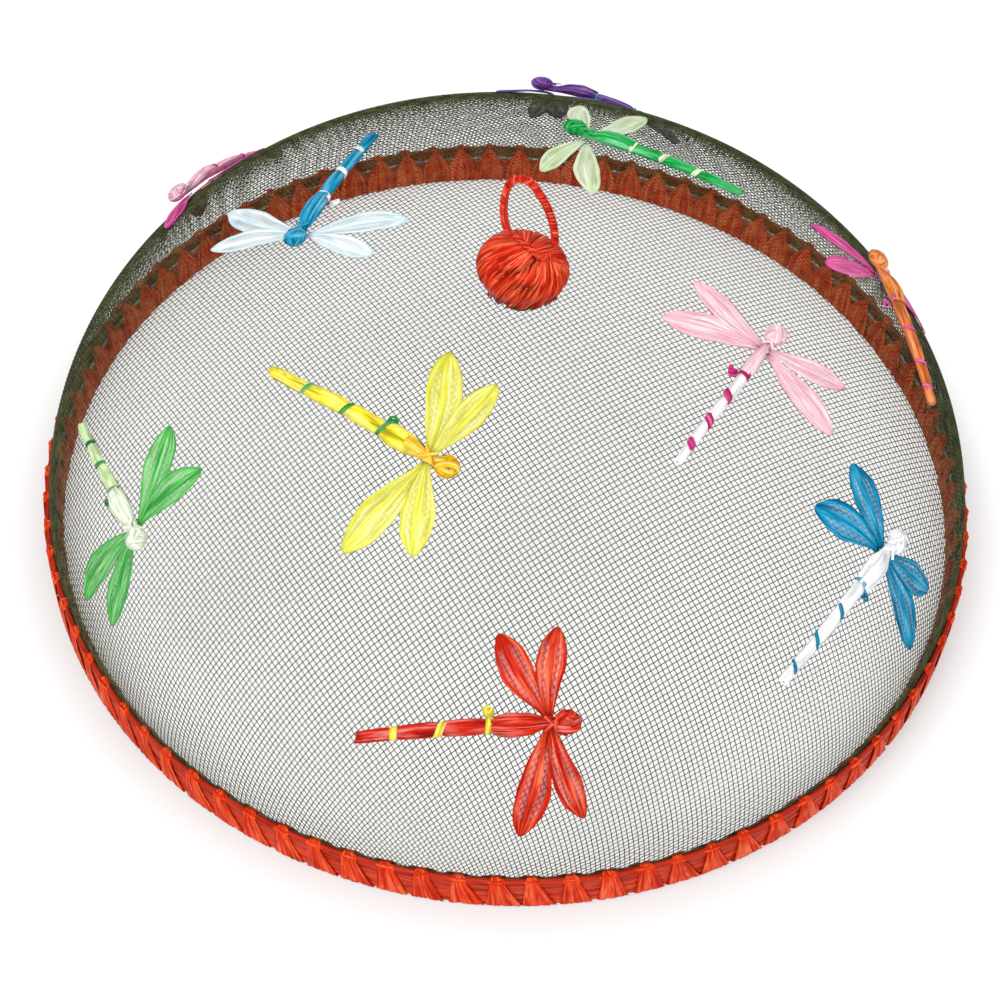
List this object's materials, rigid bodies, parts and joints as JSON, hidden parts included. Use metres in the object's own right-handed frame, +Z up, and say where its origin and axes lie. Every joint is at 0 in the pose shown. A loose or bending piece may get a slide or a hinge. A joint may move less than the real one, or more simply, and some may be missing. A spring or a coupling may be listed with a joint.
{
  "type": "food cover",
  "caption": "Domed food cover of woven wire screen with a raffia-whipped rim, a raffia knob with a loop handle on top and raffia dragonflies tied over the dome.",
  "frame": {"origin": "centre of the rim circle, on the surface the rim rests on", "axes": "+Z up through the crown of the dome, +X to the right and -Y towards the viewer's side of the picture"},
  "size_m": [0.355, 0.355, 0.1673],
  "materials": {
    "screen_wire": "satin",
    "rim_hoop": "matte",
    "stiffening_wire": "satin",
    "rim_raffia": "matte",
    "knob_raffia": "matte",
    "knob_wadding": "matte",
    "yellow_body": "satin",
    "yellow_wings": "satin",
    "yellow_tie": "satin",
    "red_body": "satin",
    "red_wings": "satin",
    "red_tie": "satin",
    "blue_body": "satin",
    "blue_wings": "satin",
    "blue_tie": "satin",
    "green_body": "satin",
    "green_wings": "satin",
    "green_tie": "satin",
    "pink_body": "satin",
    "pink_wings": "satin",
    "pink_tie": "satin",
    "white_body": "satin",
    "white_wings": "satin",
    "white_tie": "satin",
    "lime_body": "satin",
    "lime_wings": "satin",
    "lime_tie": "satin",
    "orange_body": "satin",
    "orange_wings": "satin",
    "orange_tie": "satin",
    "magenta_body": "satin",
    "magenta_wings": "satin",
    "magenta_tie": "satin",
    "purple_body": "satin",
    "purple_wings": "satin",
    "purple_tie": "satin"
  },
  "bodies": {
    "cover": {"screen_dome": "screen_wire", "outer_hoop": "rim_hoop", "inner_hoop": "rim_hoop", "rim_wire": "stiffening_wire", "rim_binding": "rim_raffia", "knob_core": "knob_wadding", "knob_wrap": "knob_raffia", "knob_ridge": "knob_raffia", "knob_anchor": "knob_raffia", "yellow_dragonfly_hindwings": "yellow_wings", "yellow_dragonfly_forewings": "yellow_wings", "yellow_dragonfly_body": "yellow_body", "yellow_dragonfly_tie": "yellow_tie", "red_dragonfly_hindwings": "red_wings", "red_dragonfly_forewings": "red_wings", "red_dragonfly_body": "red_body", "red_dragonfly_tie": "red_tie", "blue_dragonfly_hindwings": "blue_wings", "blue_dragonfly_forewings": "blue_wings", "blue_dragonfly_body": "blue_body", "blue_dragonfly_tie": "blue_tie", "green_dragonfly_hindwings": "green_wings", "green_dragonfly_forewings": "green_wings", "green_dragonfly_body": "green_body", "green_dragonfly_tie": "green_tie", "pink_dragonfly_hindwings": "pink_wings", "pink_dragonfly_forewings": "pink_wings", "pink_dragonfly_body": "pink_body", "pink_dragonfly_tie": "pink_tie", "white_dragonfly_hindwings": "white_wings", "white_dragonfly_forewings": "white_wings", "white_dragonfly_body": "white_body", "white_dragonfly_tie": "white_tie", "lime_dragonfly_hindwings": "lime_wings", "lime_dragonfly_forewings": "lime_wings", "lime_dragonfly_body": "lime_body", "lime_dragonfly_tie": "lime_tie", "orange_dragonfly_hindwings": "orange_wings", "orange_dragonfly_forewings": "orange_wings", "orange_dragonfly_body": "orange_body", "orange_dragonfly_tie": "orange_tie", "magenta_dragonfly_hindwings": "magenta_wings", "magenta_dragonfly_forewings": "magenta_wings", "magenta_dragonfly_body": "magenta_body", "magenta_dragonfly_tie": "magenta_tie", "purple_dragonfly_hindwings": "purple_wings", "purple_dragonfly_forewings": "purple_wings", "purple_dragonfly_body": "purple_body", "purple_dragonfly_tie": "purple_tie"},
    "handle": {"loop_handle": "knob_raffia"}
  },
  "joints": [
    {"name": "handle_tilt", "type": "hinge", "parent": "cover", "child": "handle", "pos_m": [0.00223, 0.00166, 0.13994], "axis": [0.9848, -0.1378, -0.1057], "range_deg": [-40, 40]}
  ]
}
